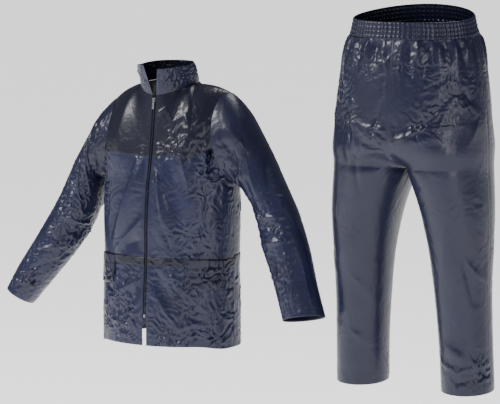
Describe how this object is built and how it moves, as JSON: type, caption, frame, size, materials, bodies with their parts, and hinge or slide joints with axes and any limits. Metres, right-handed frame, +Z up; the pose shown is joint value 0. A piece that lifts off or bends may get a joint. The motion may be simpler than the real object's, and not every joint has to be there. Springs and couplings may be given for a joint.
{
  "type": "rain suit",
  "caption": "Two-piece navy rain suit, hollow as worn: zipped stand-collar jacket beside elasticated trousers.",
  "frame": {"origin": "centre of the jacket's neck opening, level with the inner ends of the shoulder seams", "axes": "+Z up, both garments face -Y, +X is the wearer's left; the trousers stand beside the jacket along +X"},
  "size_m": [1.5193, 0.3256, 1.0488],
  "materials": {
    "coated_cloth": "glossy coated nylon, crumpled",
    "doubled_cloth": "the same cloth doubled, darker",
    "zip_tape": "matt woven tape and plastic coil",
    "zip_metal": "dull grey"
  },
  "bodies": {
    "suit": {"jacket_front_left": "coated_cloth", "jacket_sleeve_left": "coated_cloth", "casing_front_left": "doubled_cloth", "pocket_flap_left": "doubled_cloth", "zip_tape_left": "zip_tape", "jacket_front_right": "coated_cloth", "jacket_sleeve_right": "coated_cloth", "casing_front_right": "doubled_cloth", "pocket_flap_right": "doubled_cloth", "zip_tape_right": "zip_tape", "jacket_back": "coated_cloth", "casing_back": "doubled_cloth", "jacket_collar": "doubled_cloth", "zip_coil": "zip_tape", "zip_box": "zip_metal", "zip_slider": "zip_metal", "trouser_front_left": "coated_cloth", "trouser_back_left": "coated_cloth", "trouser_front_right": "coated_cloth", "trouser_back_right": "coated_cloth", "waistband": "coated_cloth"},
    "pull_tab": {"zip_pull": "zip_metal"}
  },
  "joints": [
    {"name": "pull_tab_swing", "type": "hinge", "parent": "suit", "child": "pull_tab", "pos_m": [0, -0.08665, -0.04056], "axis": [-1, 0, 0], "range_deg": [0, 150]}
  ]
}
